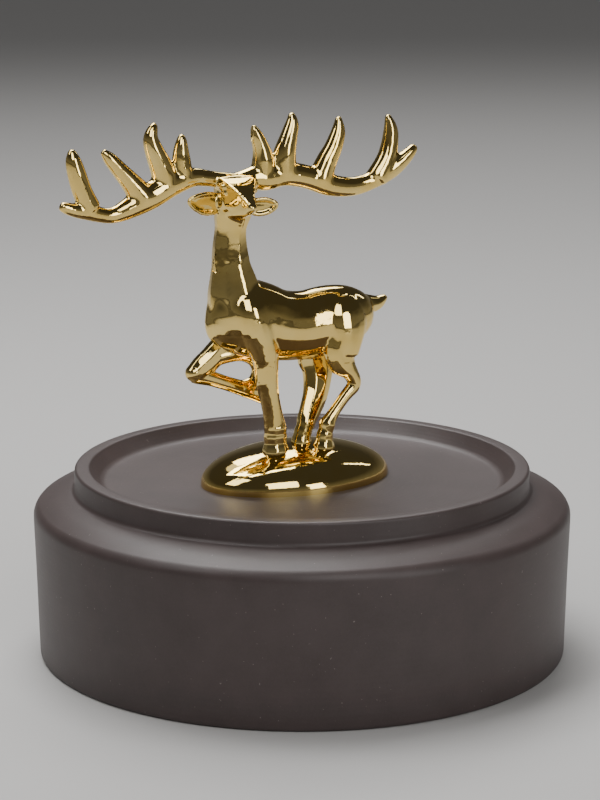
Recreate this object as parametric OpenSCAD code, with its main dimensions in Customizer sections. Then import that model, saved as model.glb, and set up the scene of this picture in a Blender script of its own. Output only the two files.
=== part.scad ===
// Polished stag standing on an oval mound, lifted out of the recess of a turned clay plinth.
// Millimetres, +Z up, origin at the centre of the plinth's foot.
// The stag's body runs along X with its chest towards -X, and its face looks towards -Y.

/* [Plinth] */
// Radius of the clay wall at the shoulder
plinth_r = 52; // [50:0.5:60]
// Height of the raised ring's flat top
plinth_h = 36.4; // [33:0.1:42]
// How much narrower the foot is than the shoulder
foot_draft = 0.7; // [0:0.1:2]
// Outer radius of the raised ring
ring_r = 44; // [42:0.1:46]
// Width of the ring's flat top
ring_w = 3; // [2:0.1:4]
// Depth of the recess below the ring's top
recess_d = 3; // [2:0.1:5]
// Thickness of the clay at the foot and over the hollow
clay_t = 7.5; // [5:0.5:9]

/* [Mound] */
// Length of the oval mound
mound_l = 39; // [36:0.5:44]
// Width of the oval mound
mound_w = 26.6; // [24:0.2:30]
// Height of the oval mound
mound_h = 7.6; // [7:0.1:9]
// Height of the flat roof of the hollow under the mound
mound_roof = 4.6; // [4:0.1:5]
// Thickness of the felt pad let into the mound's hollow
pad_t = 0.8; // [0.5:0.1:1.2]
// Offset of the mound from the plinth's axis, along the stag
mound_x = -1.25; // [-1.4:0.05:0]
// Offset of the mound from the plinth's axis, across the stag
mound_y = 0.5; // [-2:0.1:2]

/* [Stag] */
// Height of the seam between neck and shoulders
neck_seam = 42; // [41:0.5:46]
// Distance from the middle of the skull to the seams of the antler and ear on each side
side_seam = 3.9; // [3.6:0.1:4.2]
// Place along X of the seam at the root of the tail
tail_seam = 15.6; // [15:0.1:16]

/* [Fixings] */
// Radius of the threaded stud in each standing hoof
stud_r = 0.8; // [0.6:0.05:0.9]
// Distance across the flats of a stud nut
nut_af = 3.2; // [2.8:0.1:3.2]
// Thickness of a stud nut
nut_t = 1.3; // [1:0.1:1.6]
// Radius of a stud washer
washer_r = 1.9; // [1.6:0.1:2]
// Thickness of a stud washer
washer_t = 0.3; // [0.2:0.1:0.5]
// Radius of the dowels in the legs
leg_dowel_r = 0.8; // [0.6:0.05:0.9]
// Radius of the dowel in the neck
neck_dowel_r = 1.2; // [0.8:0.1:1.5]
// Radius of the dowels in the antlers
antler_dowel_r = 0.6; // [0.4:0.05:0.7]

/* [Hidden] */

GOLD = "goldenrod";
BRASS = "darkgoldenrod";
floor_z = plinth_h - recess_d;
fit = 0.06;             // clearance all round a dowel or stud
far = 200;              // size of the blocks that cut along a plane
body_fn = 22;           // roundness of the body's beads
thin_fn = 16;           // roundness of the legs' and antlers' beads
skull_x = -13.6;        // middle of the skull, along X
skull_y = -0.6;
antler_root_z = 59.2;   // height at which the antlers meet the skull

// Each bead is [x, y, z, radius in x, radius in y, radius in z], from the mound's middle
// at the recess floor.
body_beads = [[-15.9, 0, 33.4, 2.9, 3.7, 5.8], [-12.5, 0, 33.8, 3.0, 5.0, 7.4],
    [-8.0, 0, 31.9, 3.0, 5.5, 7.4], [-3.5, 0, 30.4, 3.0, 5.4, 6.9],
    [1.5, 0, 30.0, 3.0, 5.2, 6.7], [6.5, 0, 30.6, 3.0, 5.4, 6.8],
    [10.8, 0, 31.2, 3.0, 5.2, 6.1], [13.7, 0, 31.4, 2.8, 4.2, 4.4]];
neck_beads = [[-13.2, 0, 36.5, 5.4, 4.8, 4.0], [-13.5, 0, 40.2, 4.8, 3.9, 3.0],
    [-13.9, 0, 44.0, 3.8, 3.3, 2.5], [-14.1, 0, 48.0, 3.2, 3.0, 2.5],
    [-13.9, -0.3, 52.0, 3.2, 3.2, 2.5], [-13.7, -0.5, 55.2, 3.9, 3.6, 3.2]];
skull_beads = [[skull_x, skull_y, 57.0, 4.0, 3.6, 3.0], [-13.9, -3.2, 56.7, 3.5, 2.6, 2.9],
    [-14.4, -6.2, 56.0, 2.4, 2.2, 2.3], [-15.0, -9.0, 55.2, 1.8, 1.6, 1.7]];
jaw_beads = [[-13.5, -0.5, 54.6, 3.6, 3.2, 2.4], [-13.9, -3.4, 54.2, 2.4, 2.2, 1.6],
    [-14.9, -8.4, 53.9, 1.3, 1.4, 0.9]];
brow_beads = [[-18.4, skull_y, 59.5, 1.5, 1.4, 1.5], [skull_x, skull_y, 58.2, 2.4, 2.2, 1.8],
    [-8.8, skull_y, 59.2, 1.6, 1.4, 1.7]];
shoulder_beads = [[-11.2, 3.2, 32.5, 3.8, 2.6, 5.2], [-9.0, 3.3, 28.0, 3.0, 2.3, 3.0]];
haunch_beads = [[9.0, 3.2, 30.2, 4.8, 2.7, 5.6], [8.3, 3.9, 25.6, 3.6, 2.3, 3.0]];

// Legs, named for the stag's own left and right; its left side faces -Y.
foreleg_left_beads = [[-8.6, -3.3, 28.0, 2.9, 2.3, 3.0], [-8.3, -3.3, 23.5, 2.4, 2.0, 2.2],
    [-8.0, -3.2, 20.6, 2.2, 1.8, 1.8], [-7.3, -3.2, 17.0, 1.7, 1.6, 1.6],
    [-6.8, -3.2, 14.5, 1.6, 1.5, 1.5], [-6.5, -3.2, 12.4, 1.7, 1.6, 1.3],
    [-6.3, -3.2, 11.0, 2.0, 1.9, 0.8], [-6.2, -3.2, 9.6, 1.7, 1.7, 0.8],
    [-6.2, -3.2, 8.6, 2.0, 1.9, 0.7], [-6.2, -3.2, 6.8, 2.2, 2.1, 0.9]];
foreleg_right_beads = [[-10.5, 3.2, 28.4, 3.2, 2.3, 3.4], [-14.4, 3.5, 26.7, 2.4, 2.0, 2.3],
    [-16.7, 3.5, 24.7, 2.3, 1.85, 2.2], [-18.6, 3.5, 23.3, 2.1, 1.75, 2.0],
    [-19.8, 3.5, 22.3, 1.8, 1.6, 1.7], [-17.5, 3.5, 21.4, 1.6, 1.45, 1.5],
    [-13.5, 3.4, 19.7, 1.4, 1.35, 1.4], [-10.0, 3.3, 18.3, 1.5, 1.35, 1.45],
    [-7.6, 3.2, 17.4, 1.6, 1.5, 1.5], [-5.4, 3.2, 15.9, 1.4, 1.4, 1.4]];
// Web of metal that closes the fold of the raised foreleg into a small oval hole.
web_beads = [[-12.8, 3.0, 25.6, 1.8, 1.6, 1.7], [-9.6, 2.8, 25.6, 1.8, 1.5, 1.7],
    [-7.4, 2.7, 24.2, 1.8, 1.4, 1.8], [-6.3, 2.9, 21.6, 1.6, 1.35, 1.8],
    [-6.8, 3.1, 18.6, 1.9, 1.4, 1.8]];
hindleg_left_beads = [[8.0, -3.9, 26.0, 3.7, 2.3, 3.0], [7.9, -4.0, 23.4, 3.1, 1.95, 1.9],
    [9.4, -4.2, 20.9, 1.8, 1.6, 1.7], [10.6, -4.4, 18.9, 1.45, 1.45, 1.4],
    [8.6, -4.5, 16.4, 1.35, 1.35, 1.35], [6.1, -4.6, 13.6, 1.3, 1.35, 1.3],
    [4.7, -4.7, 11.6, 1.6, 1.6, 1.2], [4.2, -4.7, 10.2, 1.5, 1.5, 0.8],
    [3.9, -4.7, 8.7, 1.8, 1.7, 0.8], [3.7, -4.7, 6.8, 2.1, 2.0, 0.9]];
hindleg_right_beads = [[5.9, 2.5, 26.0, 4.2, 2.3, 3.0], [5.3, 1.8, 22.6, 3.3, 2.0, 2.2],
    [5.2, 1.0, 19.2, 2.8, 1.8, 2.0], [4.4, 0.3, 16.0, 2.6, 1.7, 1.9],
    [3.1, -0.6, 13.3, 2.3, 1.6, 1.5], [1.8, -1.2, 11.2, 2.0, 1.65, 1.0],
    [1.2, -1.4, 10.0, 1.8, 1.6, 0.8], [0.8, -1.4, 8.9, 1.9, 1.65, 0.7],
    [0.6, -1.4, 7.4, 2.1, 1.9, 0.9]];

// Antlers: [x, y, z, radius], the beam first and then one list per tine.
antler_depth = 0.85;    // thickness across the antler, as a share of its width
antler_right_beam = [[-17.4, -0.6, 59.4, 1.5], [-22.2, -0.5, 60.0, 1.8], [-26.5, -0.5, 59.0, 2.35],
    [-31.0, -0.7, 57.0, 2.45], [-35.5, -0.9, 55.2, 1.95], [-39.0, -1.1, 54.2, 1.45],
    [-42.8, -1.3, 54.9, 1.45], [-46.4, -1.6, 55.7, 1.3], [-49.1, -1.8, 56.6, 0.9]];
antler_right_tines = [
    [[-43.0, -1.3, 55.6, 1.9], [-45.3, -1.4, 61.2, 1.8], [-46.5, -1.4, 65.0, 1.4],
        [-46.7, -1.4, 66.4, 0.7]],
    [[-32.6, -0.8, 57.0, 2.5], [-35.4, -0.9, 60.6, 1.85], [-37.7, -1.0, 63.0, 1.5],
        [-40.3, -1.1, 65.6, 0.7]],
    [[-27.6, -0.6, 59.4, 2.4], [-28.7, -0.8, 62.5, 2.15], [-30.2, -1.0, 65.6, 1.8],
        [-30.7, -1.0, 68.0, 1.4], [-29.7, -1.0, 70.0, 0.7]],
    [[-24.3, -0.5, 60.2, 2.1], [-24.5, -0.8, 63.9, 1.75], [-24.5, -1.0, 66.5, 1.3],
        [-24.6, -1.0, 67.7, 0.7]]];
antler_left_beam = [[-9.8, -0.6, 59.1, 1.9], [-6.6, -0.5, 59.0, 2.35], [-2.6, -0.5, 59.4, 2.3],
    [2.2, -0.7, 58.6, 2.2], [7.0, -0.9, 56.9, 2.1], [12.0, -1.1, 56.2, 1.85],
    [16.5, -1.3, 57.2, 1.7], [20.6, -1.5, 59.1, 1.75], [23.8, -1.7, 61.3, 1.4],
    [25.4, -1.8, 62.8, 0.9]];
antler_left_tines = [
    [[-7.4, -0.5, 59.8, 2.3], [-7.3, -0.7, 62.6, 2.1], [-7.9, -0.9, 64.9, 1.6],
        [-9.0, -1.0, 67.3, 1.2], [-9.6, -1.0, 68.4, 0.7]],
    [[-2.8, -0.5, 60.0, 2.5], [-2.7, -0.8, 63.2, 2.25], [-1.9, -1.0, 66.2, 1.75],
        [-1.2, -1.0, 69.0, 1.3], [-1.4, -1.0, 70.7, 0.7]],
    [[5.2, -0.8, 58.2, 2.4], [6.4, -0.9, 61.0, 2.1], [7.8, -1.0, 63.9, 1.8],
        [8.9, -1.0, 67.0, 1.45], [8.9, -1.0, 69.4, 0.7]],
    [[17.5, -1.3, 58.0, 2.2], [19.4, -1.2, 60.8, 2.0], [20.3, -1.1, 63.6, 1.75],
        [20.6, -1.0, 66.8, 1.45], [19.8, -1.0, 69.2, 0.7]]];

// Seams: the forelegs meet the torso on one tilted plane and the hind legs on one level plane.
fore_seam = [-14.6, 0, 26.4];
fore_tilt = 22;
hind_seam = [6, 0, 23];
// Standing hooves: [x, y, z of the flat, radius of its spot face]
hooves = [[-6.2, -3.2, 6.5, 2.3], [3.7, -4.7, 6.4, 2.2], [0.6, -1.4, 7.0, 2.1]];
stud_grip = 3.2;        // length of stud inside a hoof
stud_tail = 0.4;        // length of stud below its nut
dowel_l = 5;            // length of a leg dowel
neck_dowel_l = 9;
antler_dowel_l = 4.4;
// Leg dowels: [middle, tilt about Y]
leg_dowel_places = [[[-8.3, -3.3, 23.8], 0], [[-15.2, 3.5, 26.3], 50],
    [[8.2, -4.0, hind_seam[2]], 0], [[5.4, 1.9, hind_seam[2]], 4]];

function arc(x, z, r, a0, a1, n = 6) = [for (i = [0:n])
    let (a = a0 + (a1 - a0) * i / n) [x + r * cos(a), z + r * sin(a)]];

module on_mound() translate([mound_x, mound_y, floor_z]) children();

module bead(b, fn) translate([b[0], b[1], b[2]]) scale([b[3], b[4], b[5]]) sphere(1, $fn = fn);

module chain(beads, fn) for (i = [0:len(beads) - 2]) hull() {
    bead(beads[i], fn);
    bead(beads[i + 1], fn);
}

// Everything below, or above, a height.
module below(z) translate([-far / 2, -far / 2, z - far]) cube(far);
module above(z) translate([-far / 2, -far / 2, z]) cube(far);

// Everything on the leg's side, or the torso's side, of the seam of leg i.
module leg_side(i) {
    if (i < 2) translate(fore_seam) rotate([0, fore_tilt, 0]) below(0);
    else below(hind_seam[2]);
}

module torso_side(i) {
    if (i < 2) translate(fore_seam) rotate([0, fore_tilt, 0]) above(0);
    else above(hind_seam[2]);
}

module both_sides() {
    children();
    mirror([0, 1, 0]) children();
}

module leg_form(i) {
    forms = [foreleg_left_beads, foreleg_right_beads, hindleg_left_beads, hindleg_right_beads];
    chain(forms[i], thin_fn);
    if (i == 1) chain(web_beads, thin_fn);
}

// Whole body with the stumps of the legs and neck, before it is divided.
module body_form() {
    chain(body_beads, body_fn);
    chain(neck_beads, body_fn);
    both_sides() chain(shoulder_beads, body_fn);
    both_sides() chain(haunch_beads, body_fn);
}

module leg_holes(grow) for (p = leg_dowel_places)
    translate(p[0]) rotate([0, p[1], 0])
        cylinder(r = leg_dowel_r + grow, h = dowel_l + 2 * grow, center = true, $fn = 32);

module neck_hole(grow) translate([-13.4, 0, neck_seam])
    cylinder(r = neck_dowel_r + grow, h = neck_dowel_l + 2 * grow, center = true, $fn = 32);

module antler_holes(grow) for (side = [-1, 1])
    translate([skull_x + side * side_seam, skull_y, antler_root_z]) rotate([0, 90, 0])
        cylinder(r = antler_dowel_r + grow, h = antler_dowel_l + 2 * grow, center = true, $fn = 32);

module stud_holes(grow) for (h = hooves)
    translate([h[0], h[1], mound_roof - washer_t - nut_t - stud_tail - grow])
        cylinder(r = stud_r + grow, $fn = 32,
            h = h[2] + stud_grip - mound_roof + washer_t + nut_t + stud_tail + 2 * grow);

module plinth() {
    wall_top = plinth_h - 9;
    shoulder = 2.6;
    foot_r = plinth_r - foot_draft;
    ring_top = plinth_h;
    lip = 0.5;
    recess_r = ring_r - ring_w - 3.4;
    hollow_r = foot_r - clay_t;
    color("#51423f") rotate_extrude($fn = 120) polygon(concat(
        [[hollow_r, 0]],
        arc(foot_r - 0.8, 0.8, 0.8, -90, 0, 4),
        arc(plinth_r - shoulder, wall_top, shoulder, 0, 65, 6),
        [[ring_r + 1, plinth_h - 4.5]],
        arc(ring_r + 0.9, plinth_h - 3.6, 0.9, 270, 180, 4),
        arc(ring_r - lip, ring_top - lip, lip, 0, 90, 4),
        arc(ring_r - ring_w + lip, ring_top - lip, lip, 90, 150, 3),
        arc(recess_r, floor_z + 2.2, 2.2, 310, 270, 5),
        [[0, floor_z], [0, floor_z - clay_t + 1]],
        arc(hollow_r - 5, floor_z - clay_t - 4, 5, 90, 0, 6)));
}

module mound() color(GOLD) on_mound() difference() {
    oval_dome(mound_l / 2, mound_w / 2, mound_h);
    translate([0, 0, -1]) linear_extrude(mound_roof + 1) oval(cavity_l(), cavity_w());
    for (h = hooves) translate([h[0], h[1], h[2]]) cylinder(r = h[3], h = mound_h, $fn = 48);
    stud_holes(fit);
}

// Half lengths of the hollow under the mound.
function cavity_l() = mound_l / 2 - 5.2;
function cavity_w() = mound_w / 2 - 3.9;

module oval(a, b) scale([1, b / a]) circle(a, $fn = 72);

// A dome over an oval, standing on a low upright rim.
module oval_dome(a, b, h) {
    rim = 0.6;
    rings = 9;
    sides = 64;
    steps = concat([[1, 0]], [for (i = [0:rings - 1]) let (t = 90 * i / rings)
        [cos(t), rim + (h - rim) * sin(t)]]);
    points = concat([for (s = steps) for (k = [0:sides - 1])
        [a * s[0] * cos(360 * k / sides), b * s[0] * sin(360 * k / sides), s[1]]], [[0, 0, h]]);
    last = len(steps) - 1;
    faces = concat(
        [[for (k = [0:sides - 1]) k]],
        [for (j = [0:last - 1]) for (k = [0:sides - 1]) let (n = (k + 1) % sides)
            [j * sides + k, (j + 1) * sides + k, (j + 1) * sides + n, j * sides + n]],
        [for (k = [0:sides - 1]) [last * sides + k, len(points) - 1, last * sides + (k + 1) % sides]]);
    polyhedron(points, faces, convexity = 2);
}

module mound_pad() color("#2c2a2a") on_mound()
    linear_extrude(pad_t) oval(cavity_l() - 0.2, cavity_w() - 0.2);

module torso() color(GOLD) on_mound() difference() {
    union() {
        body_form();
        for (i = [0:3]) intersection() {
            leg_form(i);
            torso_side(i);
        }
    }
    above(neck_seam);
    for (i = [0:3]) intersection() {
        leg_form(i);
        leg_side(i);
    }
    translate([tail_seam, -far / 2, 0]) cube(far);
    leg_holes(fit);
    neck_hole(fit);
}

module head() color(GOLD) on_mound() difference() {
    union() {
        chain(neck_beads, body_fn);
        chain(skull_beads, body_fn);
        chain(jaw_beads, body_fn);
        chain(brow_beads, body_fn);
    }
    below(neck_seam);
    for (side = [-1, 1])
        translate([skull_x + side * (side_seam + far / 2), 0, neck_seam + far / 2 - 1])
            cube(far, center = true);
    neck_hole(fit);
    antler_holes(fit);
}

// An antler stands on one side of the skull: side 1 is the stag's left, towards +X.
module antler(beam, tines, side) color(GOLD) on_mound() difference() {
    for (branch = concat([beam], tines))
        chain([for (b = branch) [b[0], b[1], b[2], b[3], b[3] * antler_depth, b[3]]], thin_fn);
    translate([skull_x + side * (side_seam - far / 2), 0, 60]) cube(far, center = true);
    antler_holes(fit);
}

// An ear is a leaf lying along X, cut flat where it meets the skull.
module ear(side) color(GOLD) on_mound() intersection() {
    translate([skull_x, skull_y, 54.4]) scale([side, 1, 1]) hull() {
        translate([2.6, -0.6, 0]) scale([1, 1.2, 1]) sphere(1.3, $fn = 20);
        translate([6.4, -1.4, 0.3]) scale([1.4, 0.7, 1]) sphere(1.7, $fn = 20);
        translate([9.5, -1.8, 0.7]) sphere(0.5, $fn = 16);
    }
    translate([skull_x + side * (side_seam + far / 2), 0, 54]) cube(far, center = true);
}

module tail() color(GOLD) on_mound() intersection() {
    hull() {
        translate([14.6, 0, 33.2]) scale([1, 1.1, 1.2]) sphere(1.9, $fn = 20);
        translate([17.6, 0, 32.6]) scale([1, 1, 1.1]) sphere(1.6, $fn = 20);
        translate([20.2, 0, 34.2]) sphere(0.6, $fn = 16);
    }
    translate([tail_seam, -far / 2, 0]) cube(far);
}

module leg(i) color(GOLD) on_mound() difference() {
    leg_form(i);
    torso_side(i);
    if (i == 0) below(hooves[0][2]);
    if (i == 2) below(hooves[1][2]);
    if (i == 3) below(hooves[2][2]);
    leg_holes(fit);
    stud_holes(fit);
}

module foreleg_left() leg(0);
module foreleg_right() leg(1);
module hindleg_left() leg(2);
module hindleg_right() leg(3);

module neck_dowel() color(BRASS) on_mound() neck_hole(0);
module leg_dowels() color(BRASS) on_mound() leg_holes(0);
module antler_dowels() color(BRASS) on_mound() antler_holes(0);
module hoof_studs() color(BRASS) on_mound() stud_holes(0);

module stud_washers() color(BRASS) on_mound() for (h = hooves)
    translate([h[0], h[1], mound_roof - washer_t]) difference() {
        cylinder(r = washer_r, h = washer_t, $fn = 32);
        translate([0, 0, -1]) cylinder(r = stud_r + fit, h = washer_t + 2, $fn = 32);
    }

module stud_nuts() color(BRASS) on_mound() for (h = hooves)
    translate([h[0], h[1], mound_roof - washer_t - nut_t]) difference() {
        rotate([0, 0, 30]) cylinder(r = nut_af / 2 / cos(30), h = nut_t, $fn = 6);
        translate([0, 0, -1]) cylinder(r = stud_r + fit / 2, h = nut_t + 2, $fn = 32);
    }

plinth();
mound();
mound_pad();
torso();
head();
antler(antler_left_beam, antler_left_tines, 1);  // antler_left
antler(antler_right_beam, antler_right_tines, -1);  // antler_right
ear(1);  // ear_left
ear(-1);  // ear_right
tail();
foreleg_left();
foreleg_right();
hindleg_left();
hindleg_right();
neck_dowel();
leg_dowels();
antler_dowels();
hoof_studs();
stud_washers();
stud_nuts();
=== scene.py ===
# %% [markdown]
# # A polished stag on a clay plinth
# The real piece is a small cast stag, gold plated and polished like a mirror, standing on an oval
# domed mound. The mound sits in the recess of a round, matte, dark clay plinth.
# The CAD frame holds every size and seam; this lesson gives each piece its looks.

# %% Load the frame
import math

import bpy
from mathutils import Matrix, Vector


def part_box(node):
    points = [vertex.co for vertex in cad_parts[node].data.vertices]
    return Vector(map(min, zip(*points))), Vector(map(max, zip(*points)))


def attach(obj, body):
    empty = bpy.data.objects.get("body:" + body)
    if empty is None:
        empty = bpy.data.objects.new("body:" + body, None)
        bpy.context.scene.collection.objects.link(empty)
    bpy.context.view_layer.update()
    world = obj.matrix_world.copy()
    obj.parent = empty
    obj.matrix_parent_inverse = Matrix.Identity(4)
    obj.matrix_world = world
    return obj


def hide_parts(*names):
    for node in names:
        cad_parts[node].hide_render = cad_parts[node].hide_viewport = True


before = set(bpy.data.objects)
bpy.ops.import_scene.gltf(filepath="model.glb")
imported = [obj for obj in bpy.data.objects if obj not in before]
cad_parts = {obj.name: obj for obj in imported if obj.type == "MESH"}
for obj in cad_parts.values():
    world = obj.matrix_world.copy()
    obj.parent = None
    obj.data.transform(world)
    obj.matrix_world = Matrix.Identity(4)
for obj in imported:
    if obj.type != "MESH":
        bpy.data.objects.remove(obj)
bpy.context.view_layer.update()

MM = 0.001

# %% [markdown]
# ## Where things are
# Everything on the figure is placed from the middle of the mound, at the level of the recess floor.
# The felt pad lies on that floor and shares the mound's middle, so its box gives both.

# %% Read the places from the frame
pad_low, pad_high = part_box("mound_pad")
mound_low, mound_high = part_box("mound")
plinth_low, plinth_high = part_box("plinth")
ORIGIN = Vector(((mound_low.x + mound_high.x) / 2, (mound_low.y + mound_high.y) / 2, pad_low.z))
torso_low, torso_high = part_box("torso")
head_low, head_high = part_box("head")
NECK_SEAM = head_low.z
TAIL_SEAM = torso_high.x
SIDE_SEAMS = (head_low.x, head_high.x)
HIND_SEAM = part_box("hindleg_left")[1].z
HOOF_FLATS = {n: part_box(n)[0].z for n in ("foreleg_left", "hindleg_left", "hindleg_right")}
print("mound's middle:", tuple(round(c * 1000, 2) for c in ORIGIN), "mm")


def at(x, y, z):
    """A point given in millimetres from the mound's middle, in the frame's metres."""
    return ORIGIN + Vector((x, y, z)) * MM


# %% [markdown]
# ## Small helpers for modelling
# An operator acts on everything that is selected, so each helper first deselects all. Rotation by
# operator turns the other way when Blender runs without a window, so `turn` flips the sign.

# %% Selection and naming
def deselect():
    if bpy.context.mode != "OBJECT":
        bpy.ops.object.mode_set(mode="OBJECT")
    bpy.ops.object.select_all(action="DESELECT")


def pick(obj):
    """Makes obj the only selected and active object."""
    deselect()
    obj.select_set(True)
    bpy.context.view_layer.objects.active = obj
    return obj


def edit(obj):
    """Opens obj in edit mode with everything selected."""
    pick(obj)
    bpy.ops.object.mode_set(mode="EDIT")
    bpy.ops.mesh.select_all(action="SELECT")


def settle(obj, name):
    """Moves the object's place into its mesh and names it."""
    pick(obj)
    bpy.ops.object.transform_apply(location=True, rotation=True, scale=True)
    obj.name = obj.data.name = name
    return obj


def turn(angle, axis, centre):
    bpy.ops.transform.rotate(value=-angle, orient_axis=axis, orient_type="GLOBAL",
                             center_override=centre)


def modify(obj, kind, **settings):
    """Adds a modifier, sets it and applies it."""
    pick(obj)
    modifier = obj.modifiers.new(kind.lower(), kind)
    for key, value in settings.items():
        setattr(modifier, key, value)
    bpy.ops.object.modifier_apply(modifier=modifier.name)
    return obj


# %% [markdown]
# ## Growing a limb
# A limb, a tine or a muzzle is one idea: a ring of points that is extruded along a path while it is
# turned and resized. The stations give a few places and half thicknesses in millimetres, and a
# smooth curve through them fills in the rings between. Few points in a ring leave soft edges along
# the limb, as a chaser's file leaves on a casting.

# %% Rings along a smooth path
def blend_points(p0, p1, p2, p3, t):
    """Catmull-Rom curve from p1 to p2."""
    return [0.5 * (2 * b + (c - a) * t + (2 * a - 5 * b + 4 * c - d) * t * t
                   + (3 * b - a - 3 * c + d) * t ** 3) for a, b, c, d in zip(p0, p1, p2, p3)]


def smooth_path(stations, steps):
    ends = [stations[0]] + list(stations) + [stations[-1]]
    rows = []
    for k in range(len(stations) - 1):
        rows += [blend_points(*ends[k:k + 4], i / steps) for i in range(steps)]
    return rows + [list(stations[-1])]


def limb(stations, sides=10, steps=3, axis="Y", start_turn=0.0):
    """Grows a tube through stations of (x, y, z, half thickness across, half thickness along).
    The rings turn about axis: Y for a limb that lies in the body's plane, X for the muzzle."""
    rows = smooth_path(stations, steps)
    points = [at(*row[:3]) for row in rows]
    angles = []
    for k in range(len(rows)):
        step = points[min(k + 1, len(rows) - 1)] - points[max(k - 1, 0)]
        angles.append(math.atan2(step.x, step.z) if axis == "Y" else math.atan2(-step.y, step.z))
    deselect()
    bpy.ops.mesh.primitive_circle_add(vertices=sides, radius=MM, fill_type="NGON", location=points[0])
    tube = bpy.context.object
    edit(tube)
    turn(start_turn, "Z", points[0])
    size = (1.0, 1.0)
    for k, row in enumerate(rows):
        centre = points[k]
        if k:
            bpy.ops.mesh.extrude_region_move(
                TRANSFORM_OT_translate={"value": centre - points[k - 1]})
            turn(-angles[k - 1], axis, centre)
        across, along = max(row[3], 0.05), max(row[4], 0.05)
        new = (along, across) if axis == "Y" else (across, along)
        bpy.ops.transform.resize(value=(new[0] / size[0], new[1] / size[1], 1),
                                 orient_type="GLOBAL", center_override=centre)
        turn(angles[k], axis, centre)
        size = new
    bpy.ops.mesh.select_all(action="SELECT")
    bpy.ops.mesh.normals_make_consistent(inside=False)
    return settle(tube, "limb")


def mirrored(stations):
    """The same limb on the other side of the body."""
    return [(x, -y, z, a, b) for x, y, z, a, b in stations]


def ball(x, y, z, rx, ry, rz):
    """A squashed ball, for a muscle or an eye, in millimetres."""
    deselect()
    bpy.ops.mesh.primitive_uv_sphere_add(segments=24, ring_count=14, radius=MM, location=at(x, y, z))
    obj = bpy.context.object
    edit(obj)
    bpy.ops.transform.resize(value=(rx, ry, rz), center_override=at(x, y, z))
    return settle(obj, "ball")


# %% [markdown]
# ## The body
# The barrel runs along X. Its back dips behind the shoulders and rises over the rump, and its belly
# tucks up towards the flank. Separate masses for the shoulder blade and the thigh overlap it, so
# that a crease forms where they meet, as on the casting.

# %% Barrel, shoulders and haunches
form = []
form.append(limb([(-18.7, 0, 33.6, 1.2, 2.0), (-18.0, 0, 33.5, 2.6, 4.4), (-16.0, 0, 33.4, 3.9, 6.1),
                  (-12.5, 0, 33.4, 5.1, 7.2), (-8.0, 0, 31.9, 5.4, 7.4), (-3.5, 0, 30.5, 5.1, 6.9),
                  (1.5, 0, 30.1, 5.0, 6.7), (6.5, 0, 30.7, 5.2, 6.7), (10.8, 0, 31.2, 5.1, 6.1),
                  (14.0, 0, 31.6, 4.2, 4.8), (15.9, 0, 31.9, 2.8, 3.2), (16.8, 0, 32.0, 1.4, 1.8)],
                 sides=20, steps=3))
SHOULDER = [(-12.4, 3.0, 37.4, 1.6, 2.4), (-11.6, 3.4, 34.6, 2.4, 3.6), (-10.6, 3.5, 31.4, 2.6, 3.7),
            (-9.4, 3.4, 28.2, 2.4, 3.0), (-8.7, 3.3, 25.6, 2.1, 2.4), (-8.4, 3.3, 24.6, 1.9, 2.2)]
HAUNCH = [(8.6, 2.4, 35.8, 1.6, 2.6), (8.8, 3.2, 33.0, 2.4, 4.4), (9.0, 3.6, 29.8, 2.6, 4.6),
          (8.8, 3.9, 26.6, 2.4, 3.6), (8.5, 4.1, 24.4, 2.0, 3.0)]
for stations in (SHOULDER, HAUNCH):
    form.append(limb(stations, sides=16))
    form.append(limb(mirrored(stations), sides=16))
print("body masses:", len(form))

# %% [markdown]
# ## The legs
# Three legs stand and the right foreleg is folded at the knee. Each leg is filed to soft edges, so
# its ring has only eight points. The rings swell at the knee, the fetlock and the hoof, with a
# groove between. A web of metal fills most of the fold, and leaves a small oval hole.

# %% Forelegs
FORELEG_LEFT = [(-9.6, -3.2, 30.0, 2.4, 3.4), (-8.6, -3.4, 26.5, 2.3, 2.9), (-8.2, -3.3, 23.5, 2.0, 2.5),
                (-8.0, -3.2, 20.6, 1.9, 2.3), (-7.4, -3.2, 17.2, 1.75, 2.0), (-6.8, -3.2, 14.4, 1.7, 2.0),
                (-6.4, -3.2, 12.2, 1.8, 2.15), (-6.2, -3.2, 11.2, 1.95, 2.3), (-6.2, -3.2, 10.5, 1.85, 2.25),
                (-6.2, -3.2, 9.8, 1.95, 2.35), (-6.2, -3.2, 9.1, 1.95, 2.35), (-6.2, -3.2, 8.5, 1.85, 2.25),
                (-6.2, -3.2, 7.9, 2.1, 2.45), (-6.2, -3.2, 6.9, 2.3, 2.7), (-6.2, -3.2, 6.0, 2.3, 2.7)]
FORELEG_RIGHT = [(-9.6, 3.0, 30.4, 2.2, 3.0), (-11.6, 3.3, 28.6, 2.2, 2.6), (-14.4, 3.5, 26.6, 2.0, 2.4),
                 (-16.7, 3.5, 24.5, 1.85, 2.45), (-18.7, 3.5, 23.1, 1.75, 2.3), (-19.9, 3.5, 22.0, 1.6, 1.8),
                 (-18.7, 3.5, 21.5, 1.45, 1.7), (-16.6, 3.5, 20.9, 1.35, 1.6), (-13.5, 3.4, 19.7, 1.3, 1.5),
                 (-10.4, 3.3, 18.5, 1.3, 1.6), (-8.4, 3.2, 17.7, 1.4, 1.7), (-7.0, 3.2, 17.0, 1.4, 1.6),
                 (-5.6, 3.2, 16.2, 1.4, 1.5), (-4.6, 3.2, 15.4, 1.2, 1.2)]
WEB = [(-15.4, 3.2, 25.0, 1.6, 1.8), (-12.8, 3.0, 25.4, 1.6, 1.8), (-10.0, 2.8, 25.4, 1.5, 1.8),
       (-7.6, 2.7, 24.4, 1.45, 1.9), (-6.4, 2.8, 22.4, 1.35, 1.7), (-6.3, 3.0, 20.4, 1.3, 1.8),
       (-7.4, 3.1, 18.6, 1.35, 1.9), (-9.8, 3.2, 18.4, 1.3, 1.5)]
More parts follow.
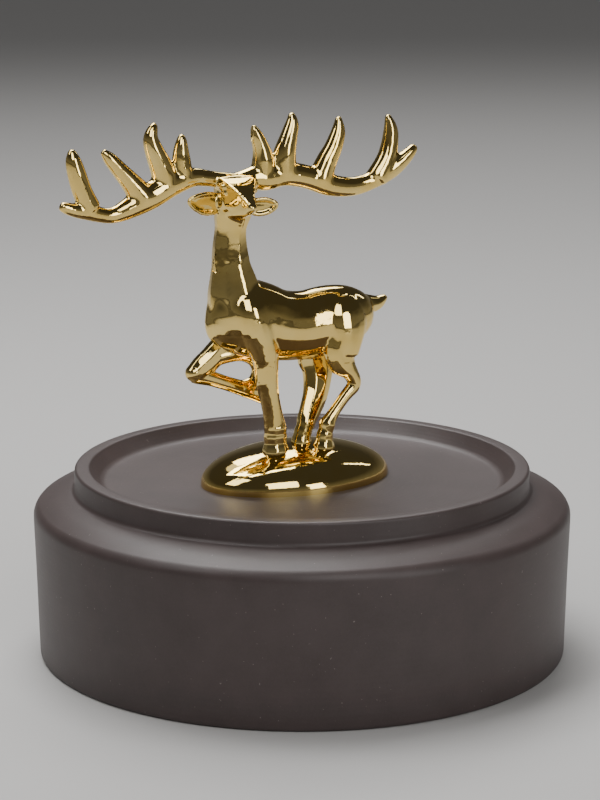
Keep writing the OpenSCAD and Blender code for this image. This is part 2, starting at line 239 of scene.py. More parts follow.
KNEE = (-20.3, 3.5, 22.3, 1.5, 1.6, 1.6)

# %% Hind legs
HINDLEG_LEFT = [(8.8, -3.8, 28.0, 2.3, 4.2), (7.9, -3.9, 25.4, 2.2, 3.9), (7.9, -4.0, 23.2, 2.0, 3.3),
                (8.7, -4.1, 21.9, 1.8, 2.5), (9.7, -4.3, 20.7, 1.6, 1.7),
                (10.6, -4.4, 19.0, 1.45, 1.45), (10.3, -4.4, 17.8, 1.35, 1.4),
                (8.6, -4.5, 16.3, 1.25, 1.2), (6.2, -4.6, 13.6, 1.2, 1.15), (5.0, -4.7, 12.1, 1.35, 1.4),
                (4.5, -4.7, 11.3, 1.6, 1.7), (4.3, -4.7, 10.6, 1.55, 1.6), (4.1, -4.7, 10.0, 1.45, 1.5),
                (3.9, -4.7, 9.3, 1.6, 1.7), (3.8, -4.7, 8.6, 1.6, 1.7), (3.8, -4.7, 8.0, 1.7, 1.8),
                (3.7, -4.7, 7.0, 2.0, 2.2), (3.7, -4.7, 5.9, 2.0, 2.2)]
HINDLEG_RIGHT = [(8.2, 3.2, 28.4, 2.2, 3.8), (5.8, 2.6, 26.0, 2.1, 4.4), (5.2, 2.0, 23.8, 1.9, 3.8),
                 (5.7, 1.6, 21.6, 1.8, 3.7), (5.5, 1.0, 19.2, 1.75, 3.2), (4.6, 0.3, 16.0, 1.65, 2.8),
                 (3.0, -0.6, 13.4, 1.6, 2.45), (2.0, -1.1, 11.9, 1.6, 2.15), (1.6, -1.3, 11.0, 1.65, 2.0),
                 (1.25, -1.4, 10.3, 1.5, 1.8), (1.0, -1.4, 9.6, 1.6, 1.9), (0.8, -1.4, 9.0, 1.55, 1.85),
                 (0.7, -1.4, 8.4, 1.7, 1.95), (0.6, -1.4, 7.6, 1.9, 2.15), (0.6, -1.4, 6.5, 1.9, 2.15)]

# %% Grow the legs
for stations in (FORELEG_LEFT, FORELEG_RIGHT, HINDLEG_LEFT, HINDLEG_RIGHT):
    form.append(limb(stations, sides=8, start_turn=math.radians(22.5)))
form.append(limb(WEB, sides=12))
form.append(ball(*KNEE))
print("with legs:", len(form))

# %% [markdown]
# ## The tail
# A short scut, lifted and cut off square, wider than it is thick.

# %% Tail
form.append(limb([(13.8, 0, 33.0, 1.9, 2.4), (16.0, 0, 32.8, 1.8, 2.1), (18.2, 0, 32.9, 1.5, 1.6),
                  (19.8, 0, 33.7, 1.0, 0.9), (20.4, 0, 34.2, 0.6, 0.4)], sides=8))
print("with the tail:", len(form))

# %% [markdown]
# ## Neck and head
# The neck stands upright with a filed edge down its front, and the head looks over the stag's left
# shoulder, so the muzzle's rings turn about X. Brows, cheeks and a jaw overlap to give the planes
# of the face. The eyes are small almonds under the brow.

# %% Neck, skull and muzzle
form.append(limb([(-12.6, 0, 33.5, 4.6, 5.6), (-13.2, 0, 36.6, 4.4, 5.6), (-13.5, 0, 39.8, 3.8, 5.0),
                  (-13.9, 0, 43.0, 3.3, 4.0), (-14.1, 0, 46.5, 3.0, 3.45), (-14.0, -0.1, 49.6, 2.9, 3.1),
                  (-13.9, -0.5, 51.6, 3.2, 3.5), (-13.7, -0.6, 53.4, 3.6, 3.8), (-13.6, -0.6, 55.6, 3.2, 3.6),
                  (-13.6, -0.6, 57.0, 2.6, 3.2)],
                 sides=8, start_turn=math.radians(11)))
form.append(limb([(-13.6, 2.6, 57.3, 2.0, 1.6), (-13.6, 1.4, 57.3, 4.4, 3.2), (-13.6, -0.6, 57.3, 5.0, 3.8),
                  (-13.7, -3.0, 57.0, 4.8, 3.5), (-14.2, -5.5, 56.2, 3.1, 2.8), (-14.5, -8.0, 55.3, 1.7, 1.9),
                  (-14.6, -9.6, 54.9, 1.3, 1.2), (-14.6, -10.4, 54.7, 0.7, 0.6)],
                 sides=4, axis="X", start_turn=math.radians(45)))
form.append(limb([(-13.6, 1.0, 54.2, 2.6, 2.0), (-13.7, -1.0, 53.8, 3.5, 2.3),
                  (-14.0, -3.6, 53.7, 2.8, 1.7), (-14.4, -6.4, 53.8, 1.7, 1.1),
                  (-14.6, -8.6, 54.0, 1.0, 0.7), (-14.6, -9.4, 54.1, 0.5, 0.4)],
                 sides=6, axis="X"))
print("with neck, skull and jaw:", len(form))

# %% Brows, eyes, cheeks and nostrils
BROWS = [(-16.6, -2.6, 58.3, 1.3, 1.6, 0.8), (-10.8, -2.6, 58.3, 1.3, 1.6, 0.8)]
EYES = [(-17.1, -3.2, 57.2, 0.35, 0.9, 0.5), (-10.4, -3.2, 57.2, 0.35, 0.9, 0.5)]
CHEEKS = [(-16.2, -1.6, 55.4, 1.5, 2.0, 1.5), (-11.2, -1.6, 55.4, 1.5, 2.0, 1.5)]
NOSTRIL_RIMS = [(-15.3, -9.6, 55.0, 0.4, 0.6, 0.4), (-13.9, -9.6, 55.0, 0.4, 0.6, 0.4)]
for lump in BROWS + EYES + CHEEKS + NOSTRIL_RIMS:
    form.append(ball(*lump))
print("with the face:", len(form))

# %% Ears: a leaf with a rolled rim
EAR_RIGHT = [(-16.6, -0.8, 55.0, 0.9, 1.1), (-18.2, -1.3, 55.1, 0.6, 1.7), (-20.2, -1.7, 55.3, 0.45, 1.95),
             (-22.2, -2.1, 55.6, 0.45, 1.6), (-23.5, -2.4, 55.9, 0.4, 0.9), (-24.2, -2.5, 56.0, 0.3, 0.3)]
RIM_RIGHT = [(-17.2, -1.2, 56.4), (-18.6, -1.8, 56.9), (-20.4, -2.3, 57.1), (-22.4, -2.7, 56.9),
             (-23.9, -2.9, 56.3), (-24.0, -2.9, 55.5), (-22.6, -2.7, 54.2), (-20.6, -2.4, 53.4),
             (-18.6, -1.9, 53.3), (-17.0, -1.2, 53.6)]
EAR_LEFT = [(-10.8, -0.8, 54.0, 0.9, 1.0), (-9.2, -1.4, 53.9, 0.6, 1.4), (-7.8, -2.0, 53.9, 0.45, 1.45),
            (-6.5, -2.4, 54.0, 0.45, 1.0), (-5.7, -2.6, 54.1, 0.3, 0.3)]
RIM_LEFT = [(-10.4, -1.4, 54.9), (-9.2, -2.0, 55.2), (-7.8, -2.6, 55.3), (-6.5, -3.0, 54.9),
            (-5.7, -3.1, 54.2), (-6.3, -3.0, 53.3), (-7.6, -2.6, 52.6), (-9.2, -2.0, 52.4),
            (-10.4, -1.4, 52.8)]
RIM_HALF = 0.42
for leaf, rim in ((EAR_RIGHT, RIM_RIGHT), (EAR_LEFT, RIM_LEFT)):
    form.append(limb(leaf, sides=12))
    form.append(limb([(x, y, z, RIM_HALF, RIM_HALF) for x, y, z in rim], sides=8))
print("with head and ears:", len(form))

# %% [markdown]
# ## The antlers
# Each antler is a beam that leaves the skull sideways, dips and lifts at its end, with tall blades
# rising from it. They all lie close to one plane along the body, and are a little flatter front to
# back than they are wide.

# %% Right antler's beam and tines: (x, y, z, half width)
FLATNESS = 0.82
BEAM_RIGHT = [(-13.6, -0.6, 58.7, 1.7), (-17.6, -0.6, 59.4, 1.55), (-19.8, -0.6, 59.8, 1.65),
              (-22.2, -0.5, 60.0, 1.9), (-26.5, -0.5, 59.1, 2.5), (-31.0, -0.7, 57.1, 2.6),
              (-35.5, -0.9, 55.2, 2.05), (-39.0, -1.1, 54.2, 1.5), (-42.8, -1.3, 54.9, 1.5),
              (-46.4, -1.6, 55.7, 1.35), (-48.9, -1.8, 56.5, 1.0), (-49.5, -1.8, 56.7, 0.6)]
TINES_RIGHT = [
    [(-43.0, -1.3, 55.6, 2.0), (-44.6, -1.3, 58.6, 1.95), (-45.7, -1.4, 61.8, 1.85), (-46.5, -1.4, 64.8, 1.5),
     (-46.7, -1.4, 66.7, 0.6)],
    [(-32.2, -0.8, 56.6, 2.8), (-34.4, -0.9, 59.4, 2.1), (-37.0, -1.0, 62.2, 1.65), (-39.2, -1.1, 64.6, 1.3),
     (-40.6, -1.1, 66.0, 0.6)],
    [(-27.6, -0.6, 59.0, 2.5), (-28.5, -0.8, 62.0, 2.35), (-30.1, -1.0, 65.4, 1.9), (-30.8, -1.0, 67.8, 1.5),
     (-30.2, -1.0, 69.6, 1.0), (-29.6, -1.0, 70.4, 0.5)],
    [(-24.2, -0.5, 60.0, 2.2), (-24.4, -0.7, 62.6, 1.95), (-24.6, -0.9, 65.0, 1.6), (-24.5, -1.0, 67.2, 1.05),
     (-24.6, -1.0, 68.2, 0.5)]]

# %% Left antler's beam and tines
BEAM_LEFT = [(-13.6, -0.6, 58.7, 1.6), (-11.6, -0.6, 59.0, 1.75), (-9.4, -0.6, 59.2, 2.2),
             (-6.6, -0.5, 59.0, 2.5), (-2.6, -0.5, 59.5, 2.4), (2.2, -0.7, 58.6, 2.3),
             (7.0, -0.9, 56.8, 2.2), (12.0, -1.1, 56.2, 1.9), (16.5, -1.3, 57.2, 1.75),
             (20.6, -1.5, 59.1, 1.85), (23.8, -1.7, 61.4, 1.45), (25.4, -1.8, 63.0, 1.0),
             (25.8, -1.8, 63.5, 0.5)]
TINES_LEFT = [
    [(-7.4, -0.5, 59.4, 2.4), (-7.3, -0.7, 62.4, 2.25), (-7.9, -0.9, 64.9, 1.7), (-8.9, -1.0, 67.2, 1.3),
     (-9.7, -1.0, 69.0, 0.6)],
    [(-2.8, -0.5, 59.6, 2.7), (-2.8, -0.8, 63.0, 2.4), (-2.0, -1.0, 66.2, 1.85), (-1.2, -1.0, 69.0, 1.4),
     (-1.4, -1.0, 71.0, 0.6)],
    [(4.8, -0.8, 57.6, 2.7), (6.2, -0.9, 61.0, 2.25), (7.8, -1.0, 63.9, 1.9), (8.9, -1.0, 67.0, 1.5),
     (8.9, -1.0, 69.8, 0.6)],
    [(17.2, -1.3, 57.4, 2.4), (19.3, -1.2, 60.6, 2.1), (20.3, -1.1, 63.6, 1.85), (20.6, -1.0, 66.8, 1.5),
     (19.8, -1.0, 69.6, 0.6)]]


# %% Grow the antlers
def antler(branches):
    for branch in branches:
        form.append(limb([(x, y, z, r * FLATNESS, r) for x, y, z, r in branch], sides=12))


antler([BEAM_RIGHT] + TINES_RIGHT)
antler([BEAM_LEFT] + TINES_LEFT)
print("masses in the whole figure:", len(form))

# %% [markdown]
# ## One casting
# The masses are joined and rebuilt as one skin of small even squares by a Remesh modifier. A Smooth
# modifier then polishes the joints, as buffing does on metal. The withers, the antlers and the
# mouth and throat get more of it, because there the masses flow into each other with no crease.

# %% Join, remesh and smooth
SKIN = 0.2 * MM
deselect()
for obj in form:
    obj.select_set(True)
bpy.context.view_layer.objects.active = form[0]
bpy.ops.object.join()
stag = bpy.context.object
modify(stag, "REMESH", mode="VOXEL", voxel_size=SKIN, adaptivity=0.0)
modify(stag, "SMOOTH", factor=0.5, iterations=8)


# %% Polish the soft places further
def polish(name, test, passes):
    """Smooths the points that pass test, given in figure millimetres, a number of times."""
    group = stag.vertex_groups.new(name=name)
    chosen = [v.index for v in stag.data.vertices if test((v.co - ORIGIN) / MM)]
    group.add(chosen, 1.0, "REPLACE")
    modify(stag, "SMOOTH", factor=0.5, iterations=passes, vertex_group=name)
    stag.vertex_groups.clear()


polish("withers", lambda p: 32.5 < p.z < 44 and p.x < 14, 40)
polish("antlers", lambda p: p.z > 60.2 or (p.z > 53.5 and not -20.5 < p.x < -5), 24)
polish("mouth and throat", lambda p: 49.5 < p.z < 55.6 and -17.6 < p.x < -10, 24)
print("stag's skin:", len(stag.data.vertices), "points")

# %% [markdown]
# ## Dividing it at the seams
# The real figure is soldered and pinned from separate castings. Each seam is a plane from the
# frame. `cut` keeps one side of a plane and closes it, and `islands` splits what is left into loose
# pieces, so that a leg can be picked out by its place.

# %% Cutting tools
FORE_TILT = math.radians(22)
FORE_POINT = at(-14.6, 0, 26.4)
FORE_WAY = Vector((math.sin(FORE_TILT), 0, math.cos(FORE_TILT)))


def copy_of(obj):
    twin = obj.copy()
    twin.data = obj.data.copy()
    bpy.context.scene.collection.objects.link(twin)
    return twin


def cut(obj, point, normal):
    """Keeps the part of obj on the side of the plane that normal points to."""
    edit(obj)
    bpy.ops.mesh.bisect(plane_co=point, plane_no=normal, use_fill=True, clear_inner=True)
    bpy.ops.object.mode_set(mode="OBJECT")
    return obj


def islands(obj):
    edit(obj)
    bpy.ops.mesh.separate(type="LOOSE")
    bpy.ops.object.mode_set(mode="OBJECT")
    return list(bpy.context.selected_objects)


def middle(obj):
    corners = [Vector(c) for c in obj.bound_box]
    return (sum(corners, Vector()) / 8 - ORIGIN) / MM


def keep_one(parts, test, name):
    """Keeps the largest part that passes test, and removes the others."""
    good = sorted((p for p in parts if test(middle(p))), key=lambda p: len(p.data.vertices))
    for part in parts:
        if part != good[-1]:
            bpy.data.objects.remove(part)
    good[-1].name = good[-1].data.name = name
    return good[-1]


# %% Head, antlers and ears
UP, RIGHT = Vector((0, 0, 1)), Vector((1, 0, 0))
pieces = {}
above_neck = cut(copy_of(stag), (0, 0, NECK_SEAM), UP)
below_neck = cut(stag, (0, 0, NECK_SEAM), -UP)

outer_right = cut(copy_of(above_neck), (SIDE_SEAMS[0], 0, 0), -RIGHT)
outer_left = cut(copy_of(above_neck), (SIDE_SEAMS[1], 0, 0), RIGHT)
for side, outer in (("right", outer_right), ("left", outer_left)):
    parts = islands(outer)
    ear_parts = [copy_of(p) for p in parts]
    pieces["ear_" + side] = keep_one(ear_parts, lambda m: m.z < 57, "gold_ear_" + side)
    pieces["antler_" + side] = keep_one(parts, lambda m: m.z > 57, "gold_antler_" + side)
head = cut(cut(above_neck, (SIDE_SEAMS[0], 0, 0), RIGHT), (SIDE_SEAMS[1], 0, 0), -RIGHT)
pieces["head"] = keep_one(islands(head), lambda m: True, "gold_head")

# %% Legs
fore = islands(cut(copy_of(below_neck), FORE_POINT, -FORE_WAY))
fore_twins = [copy_of(p) for p in fore]
pieces["foreleg_right"] = keep_one(fore, lambda m: m.y > 1.5 and m.x < -6, "gold_foreleg_right")
pieces["foreleg_left"] = keep_one(fore_twins, lambda m: m.y < -1.5 and m.x < -4, "gold_foreleg_left")
hind = islands(cut(copy_of(below_neck), (0, 0, HIND_SEAM), -UP))
hind_twins = [copy_of(p) for p in hind]
pieces["hindleg_left"] = keep_one(hind, lambda m: m.y < -2.5 and m.x > 2, "gold_hindleg_left")
pieces["hindleg_right"] = keep_one(hind_twins, lambda m: m.y > -2.5 and m.x > 0, "gold_hindleg_right")

# %% Tail, torso and the flats under the hooves
trunk = cut(cut(below_neck, FORE_POINT, FORE_WAY), (0, 0, HIND_SEAM), UP)
behind = islands(cut(copy_of(trunk), (TAIL_SEAM, 0, 0), RIGHT))
pieces["tail"] = keep_one(behind, lambda m: True, "gold_tail")
before = islands(cut(trunk, (TAIL_SEAM, 0, 0), -RIGHT))
pieces["torso"] = keep_one(before, lambda m: True, "gold_torso")
for name, flat in HOOF_FLATS.items():
    cut(pieces[name], (0, 0, flat), UP)
for name, piece in pieces.items():
    print(name, len(piece.data.vertices), tuple(round(c, 1) for c in middle(piece)))

# %% [markdown]
# ## The mound
# A low dome over an oval, hollow underneath so that the studs' nuts have room. It starts as a
# sphere, is cut in half, stretched to the oval and given a short upright rim.

# %% Oval mound
MOUND_HALF = ((mound_high.x - mound_low.x) / 2, (mound_high.y - mound_low.y) / 2)
MOUND_H = mound_high.z - mound_low.z
RIM = 0.6 * MM
deselect()
bpy.ops.mesh.primitive_uv_sphere_add(segments=128, ring_count=64, radius=1, location=ORIGIN)
mound = bpy.context.object
edit(mound)
bpy.ops.mesh.bisect(plane_co=ORIGIN, plane_no=UP, use_fill=True, clear_inner=True)
bpy.ops.mesh.select_all(action="SELECT")
bpy.ops.transform.resize(value=(*MOUND_HALF, MOUND_H - RIM), center_override=ORIGIN)
bpy.ops.transform.translate(value=(0, 0, RIM))
bpy.ops.object.mode_set(mode="OBJECT")
settle(mound, "gold_mound")
print("solid mound:", len(mound.data.polygons), "faces")


# %% Rim, and the hollow for the nuts
def select_faces(obj, test):
    """Selects the faces whose middle and normal pass test, and opens edit mode in face mode."""
    edit(obj)
    bpy.ops.mesh.select_mode(type="FACE")
    bpy.ops.mesh.select_all(action="DESELECT")
    bpy.ops.object.mode_set(mode="OBJECT")
    for face in obj.data.polygons:
        face.select = test(face.center, face.normal)
    bpy.ops.object.mode_set(mode="EDIT")


PAD_HALF = ((pad_high.x - pad_low.x) / 2, (pad_high.y - pad_low.y) / 2)
PAD_GAP = 0.2 * MM
HOLLOW_H = 4.6 * MM
narrowing = [(pad + PAD_GAP) / whole for pad, whole in zip(PAD_HALF, MOUND_HALF)]
select_faces(mound, lambda c, n: n.z < -0.9 and c.z < ORIGIN.z + RIM * 1.01)
bpy.ops.mesh.extrude_region_move(TRANSFORM_OT_translate={"value": (0, 0, -RIM)})
bpy.ops.mesh.inset(thickness=0, depth=0)
bpy.ops.transform.resize(value=(*narrowing, 1), center_override=ORIGIN)
bpy.ops.mesh.extrude_region_move(TRANSFORM_OT_translate={"value": (0, 0, HOLLOW_H)})
bpy.ops.object.mode_set(mode="OBJECT")
pieces["mound"] = mound
print("mound:", len(mound.data.polygons), "faces")

# %% [markdown]
# ## The clay plinth
# It was thrown on a wheel, so one profile goes all the way round. A circle is extruded ring by ring
# up the wall, over the shoulder and the raised ring, down into the recess, and then under the foot
# into the hollow.

# %% Plinth profile: (radius, height) in millimetres
PLINTH_R = (plinth_high.x - plinth_low.x) / 2 / MM
PLINTH_H = plinth_high.z / MM
FLOOR = ORIGIN.z / MM
RING_R = 44.0


def arc(x, z, r, start, end, count):
    """Points on an arc, by its middle, radius and two angles in degrees."""
    angles = [math.radians(start + (end - start) * i / count) for i in range(count + 1)]
    return [(x + r * math.cos(a), z + r * math.sin(a)) for a in angles]


outline = (arc(PLINTH_R - 1.5, 0.8, 0.8, -90, 0, 5)
           + [(PLINTH_R - 0.5, 8), (PLINTH_R - 0.3, 17), (PLINTH_R, PLINTH_H - 9.6)]
           + arc(PLINTH_R - 2.6, PLINTH_H - 9, 2.6, 0, 62, 8)
           + [(RING_R + 1.2, PLINTH_H - 4.55)]
           + arc(RING_R + 0.9, PLINTH_H - 3.6, 0.9, 262, 182, 6)
           + arc(RING_R - 0.6, PLINTH_H - 0.6, 0.6, 2, 86, 6)
           + arc(RING_R - 2.5, PLINTH_H - 0.6, 0.6, 94, 150, 5)
           + arc(37.6, FLOOR + 2.4, 2.4, 318, 270, 7)
           + [(30, FLOOR), (20, FLOOR), (10, FLOOR)])
HOLLOW_R = PLINTH_R - 8.2
hollow = ([outline[0], (HOLLOW_R, 0), (HOLLOW_R, FLOOR - 11)]
          + arc(HOLLOW_R - 5, FLOOR - 11.5, 5, 0, 90, 7) + [(20, FLOOR - 6.5)])
print("points on the outside and inside:", len(outline), len(hollow))


# %% Turn the plinth
def turned(points, name):
    """Extrudes a ring of edges through (radius, height) points, and closes the last with a cap."""
    deselect()
    bpy.ops.mesh.primitive_circle_add(vertices=192, radius=points[0][0] * MM,
                                      location=(0, 0, points[0][1] * MM))
    shell = bpy.context.object
    edit(shell)
    bpy.ops.mesh.select_mode(type="EDGE")
    for (r0, z0), (r1, z1) in zip(points, points[1:]):
        bpy.ops.mesh.extrude_region_move(TRANSFORM_OT_translate={"value": (0, 0, (z1 - z0) * MM)})
        bpy.ops.transform.resize(value=(r1 / r0, r1 / r0, 1), center_override=(0, 0, z1 * MM))
    bpy.ops.mesh.fill()
    return settle(shell, name)


plinth = turned(outline, "clay_plinth")
under = turned(hollow, "under")
pick(plinth)
under.select_set(True)
bpy.ops.object.join()
edit(plinth)
bpy.ops.mesh.remove_doubles(threshold=0.01 * MM)
bpy.ops.mesh.normals_make_consistent(inside=False)
bpy.ops.object.mode_set(mode="OBJECT")
pieces["plinth"] = plinth
print("plinth:", len(plinth.data.polygons), "faces")

# %% [markdown]
# ## Writing materials as sums
# A small class wraps a socket, so that a material can be written as arithmetic. `node` adds any
# other kind of node.

# %% Shader arithmetic
class Value:
    """A socket in a material that can be added, multiplied and so on."""

    def __init__(self, tree, socket):
        self.tree, self.socket = tree, socket

    def node(self, kind, settings, inputs):
        made = self.tree.nodes.new(kind)
        for key, value in settings.items():
            setattr(made, key, value)
        for key, value in inputs.items():
            if isinstance(value, Value):
                self.tree.links.new(value.socket, made.inputs[key])
            else:
                made.inputs[key].default_value = value
        return Value(self.tree, made.outputs[0])

    def math(self, operation, *others):
        inputs = {i: v for i, v in enumerate((self,) + others)}
        return self.node("ShaderNodeMath", {"operation": operation}, inputs)

    def __add__(self, other):
        return self.math("ADD", other)

    def __mul__(self, other):
        return self.math("MULTIPLY", other)

    def __sub__(self, other):
        return self.math("SUBTRACT", other)

    def __rsub__(self, other):
        return self.math("MULTIPLY", -1.0).math("ADD", other)

    __radd__, __rmul__ = __add__, __mul__

    def split(self):
        """The x, y and z of a place."""
        parts = self.node("ShaderNodeSeparateXYZ", {}, {"Vector": self}).socket.node.outputs
        return [Value(self.tree, part) for part in parts]

    def noise(self, scale, detail=3.0, roughness=0.5):
        return self.node("ShaderNodeTexNoise", {}, {"Vector": self, "Scale": scale, "Detail": detail,
                                                    "Roughness": roughness})

    def ramp(self, low, high):
        """Spreads the stretch from low to high over 0 to 1."""
        return self.node("ShaderNodeMapRange", {"clamp": True}, {"Value": self, "From Min": low,
                                                                 "From Max": high})

    def mix(self, first, second):
        """A colour between first and second, by this value."""
        made = self.tree.nodes.new("ShaderNodeMix")
        made.data_type = "RGBA"
        self.tree.links.new(self.socket, made.inputs["Factor"])
        for key, value in ((6, first), (7, second)):
            if isinstance(value, Value):
                self.tree.links.new(value.socket, made.inputs[key])
            else:
                made.inputs[key].default_value = (*value, 1.0)
        return Value(self.tree, made.outputs[2])


def material(name):
    """A new material, its main shader and the place on the object."""
    made = bpy.data.materials.new(name)
    made.use_nodes = True
    tree = made.node_tree
    shader = tree.nodes["Principled BSDF"]
    place = Value(tree, tree.nodes.new("ShaderNodeTexCoord").outputs["Object"])
    return made, shader, place


def feed(shader, socket, value):
    value.tree.links.new(value.socket, shader.inputs[socket])


def bump(height, strength, distance, normal=None):
    inputs = {"Height": height, "Strength": strength, "Distance": distance}
    if normal:
        inputs["Normal"] = normal
    return height.node("ShaderNodeBump", {}, inputs)


# %% [markdown]
# ## Gold plate
# A mirror polish over a casting that isn't quite even, so slow waves bend the reflections. The plate's
# tone varies a little at random, and handling leaves faint soft marks, which show
# only as small changes of roughness.

# %% Gold material
def gold():
    made, shader, place = material("polished_gold_plate")
    shader.inputs["Metallic"].default_value = 1.0
    waves = place.noise(260.0, 2.0)
    ripples = place.noise(900.0, 2.0)
    marks = place.noise(420.0, 4.0, 0.6).ramp(0.45, 0.75)
    tone = place.noise(150.0, 2.0).ramp(0.3, 0.7)
    feed(shader, "Base Color", tone.mix((0.93, 0.66, 0.19), (0.96, 0.73, 0.26)))
    feed(shader, "Roughness", marks * 0.05 + 0.04)
    fine = bump(ripples, 0.10, 0.00012)
    feed(shader, "Normal", bump(waves, 0.12, 0.0004, fine))
    return made


# %% [markdown]
# ## Fired clay
# The plinth is unglazed, dark and dry. The wheel leaves fine level lines on the wall and circles in
# the recess, and the body has sandy grain with pale specks. It never shines, but it has a little
# sheen.

# %% Clay material
def clay():
    made, shader, place = material("dark_fired_clay")
    x, y, z = place.split()
    radius = (x * x + y * y).math("SQRT")
    wobble = place.noise(45.0, 2.0) * 0.0006
    turning = ((z + radius + wobble) * 5200.0).math("SINE") * 0.5 + 0.5
    broad = ((z - radius + wobble * 3.0) * 1400.0).math("SINE") * 0.5 + 0.5
    grain = place.noise(2600.0, 3.0, 0.7)
    mottle = place.noise(120.0, 4.0, 0.6).ramp(0.3, 0.7)
    speck = place.noise(1900.0, 1.0).ramp(0.765, 0.79)
    base = mottle.mix((0.047, 0.033, 0.031), (0.062, 0.044, 0.042))
    dusty = (grain.ramp(0.35, 0.75) * 0.25).mix(base, (0.088, 0.068, 0.065))
    feed(shader, "Base Color", speck.mix(dusty, (0.17, 0.14, 0.13)))
    feed(shader, "Roughness", grain * 0.12 + 0.39)
    relief = grain * 0.3 + turning * 0.10 + broad * 0.22 + mottle * 0.3
    feed(shader, "Normal", bump(relief, 0.22, 0.0002))
    return made


# %% [markdown]
# ## Turned brass and felt
# The dowels, studs, washers and nuts are plain brass with lathe lines, and the pad is black felt.

# %% Brass and felt materials
def brass():
    made, shader, place = material("turned_brass")
    shader.inputs["Metallic"].default_value = 1.0
    z = place.split()[2]
    lines = ((z + place.noise(300.0) * 0.0004) * 15000.0).math("SINE") * 0.5 + 0.5
    tone = place.noise(700.0, 3.0)
    feed(shader, "Base Color", tone.mix((0.52, 0.38, 0.16), (0.74, 0.57, 0.28)))
    feed(shader, "Roughness", lines * 0.1 + 0.28)
    feed(shader, "Normal", bump(lines, 0.2, 0.00005))
    return made


def felt():
    made, shader, place = material("black_felt")
    fibres = place.noise(3500.0, 5.0, 0.8)
    feed(shader, "Base Color", fibres.mix((0.012, 0.011, 0.011), (0.075, 0.07, 0.068)))
    feed(shader, "Roughness", fibres * 0.1 + 0.88)
    shader.inputs["Sheen Weight"].default_value = 0.5
    feed(shader, "Normal", bump(fibres, 0.7, 0.0003))
    return made


# %% Give each piece its finish and its place in the frame
GOLD, CLAY, BRASS, FELT = gold(), clay(), brass(), felt()


def finish_piece(piece, node, finish, body):
    piece.data.materials.clear()
    piece.data.materials.append(finish)
    pick(piece)
    bpy.ops.object.shade_smooth_by_angle(angle=math.radians(40))
    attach(piece, body)
    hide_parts(node)


for node, piece in pieces.items():
    if node == "plinth":
        finish_piece(piece, node, CLAY, "plinth")
    else:
        finish_piece(piece, node, GOLD, "statuette")
KEPT = {"mound_pad": FELT, "neck_dowel": BRASS, "leg_dowels": BRASS, "antler_dowels": BRASS,
        "hoof_studs": BRASS, "stud_washers": BRASS, "stud_nuts": BRASS}
for node, finish in KEPT.items():
    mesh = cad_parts[node].data
    mesh.materials.clear()
    mesh.materials.append(finish)
print("pieces made:", sorted(p.name for p in pieces.values()))

# %% [markdown]
# ## Camera, floor and light
# A long lens from a little above the plinth's top. The floor is plain and pale. Polished metal shows
# only what it reflects, so the room is dim and each soft panel stands where the figure mirrors it:
# the tall window in the neck and haunch, and the front box in the mound. The ceiling and back boxes
# give the clay of the plinth's shoulder and ring its sheen.

# %% Camera
AZIMUTH, ELEVATION = math.radians(-30.0), math.radians(13.5)
DISTANCE = 0.465
TARGET = Vector((0, 0, 0.040))
back = Vector((math.sin(AZIMUTH) * math.cos(ELEVATION), -math.cos(AZIMUTH) * math.cos(ELEVATION),
               math.sin(ELEVATION)))
side = Vector((math.cos(AZIMUTH), math.sin(AZIMUTH), 0))
rise = back.cross(side)
AIM_RISE, AIM_LEFT = 0.00866, 0.0004
AIM = TARGET + rise * AIM_RISE - side * AIM_LEFT
camera = bpy.data.objects.new("camera", bpy.data.cameras.new("camera"))
bpy.context.scene.collection.objects.link(camera)
camera.data.lens = 108
camera.data.sensor_width = 36
camera.data.clip_start = 0.01
camera.location = TARGET + back * DISTANCE
camera.rotation_euler = (AIM - camera.location).to_track_quat("-Z", "Y").to_euler()
bpy.context.scene.camera = camera
print("camera:", tuple(round(c, 3) for c in camera.location))

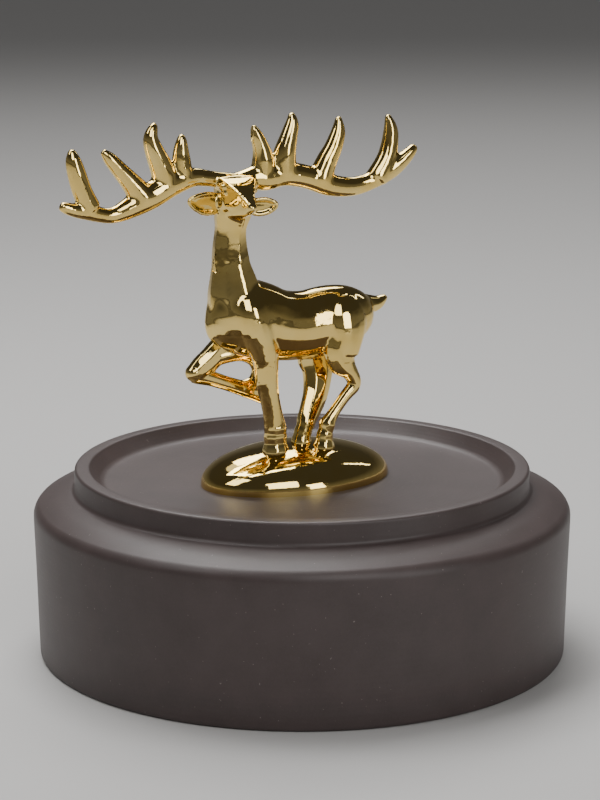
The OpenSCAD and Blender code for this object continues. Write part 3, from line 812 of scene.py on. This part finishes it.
# %% Floor
deselect()
bpy.ops.mesh.primitive_plane_add(size=16, location=(0, 0, 0))
floor = bpy.context.object
floor.name = "floor"
made, shader, place = material("pale_floor")
shader.inputs["Base Color"].default_value = (0.50, 0.49, 0.478, 1)
shader.inputs["Roughness"].default_value = 0.8
floor.data.materials.append(made)
print("floor:", tuple(round(c, 1) for c in floor.dimensions))


# %% Lights
def panel(name, azimuth, elevation, distance, size, power):
    """A soft panel that faces the figure. Azimuth is 0 in front of the face and grows to the right."""
    light = bpy.data.lights.new(name, "AREA")
    light.shape = "RECTANGLE"
    light.size, light.size_y = size
    light.energy = power
    obj = bpy.data.objects.new(name, light)
    bpy.context.scene.collection.objects.link(obj)
    a, e = math.radians(azimuth), math.radians(elevation)
    direction = Vector((math.sin(a) * math.cos(e), -math.cos(a) * math.cos(e), math.sin(e)))
    obj.location = TARGET + direction * distance
    obj.rotation_euler = (-direction).to_track_quat("-Z", "Y").to_euler()


# Name, azimuth and elevation in degrees, distance and size in metres, power in watts
panel("ceiling box", -172, 72, 0.55, (0.34, 0.34), 3.0)
panel("window", -88, 50, 0.9, (0.30, 0.50), 1.7)
panel("tall window", 19, 14, 1.1, (0.26, 0.50), 2.0)
panel("front box", -11, 35, 1.1, (0.52, 0.56), 3.6)
panel("right strip", 98, 38, 1.1, (0.06, 0.4), 0.35)
panel("back box", 152, 46, 1.2, (0.7, 0.35), 4.4)
sun = bpy.data.lights.new("room light", "SUN")
sun.energy = 0.4
sun.angle = math.radians(40)
glow = bpy.data.objects.new("room light", sun)
bpy.context.scene.collection.objects.link(glow)
glow.rotation_euler = (math.radians(-30), math.radians(10), 0)

# %% Room: pale near the horizon and dark overhead
world = bpy.data.worlds.new("room")
bpy.context.scene.world = world
world.use_nodes = True
tree = world.node_tree
direction = Value(tree, tree.nodes.new("ShaderNodeTexCoord").outputs["Generated"])
height = direction.split()[2]
room = height.ramp(0.0, 0.4).mix((0.16, 0.158, 0.155), (0.042, 0.041, 0.041))
tree.links.new(room.socket, tree.nodes["Background"].inputs["Color"])
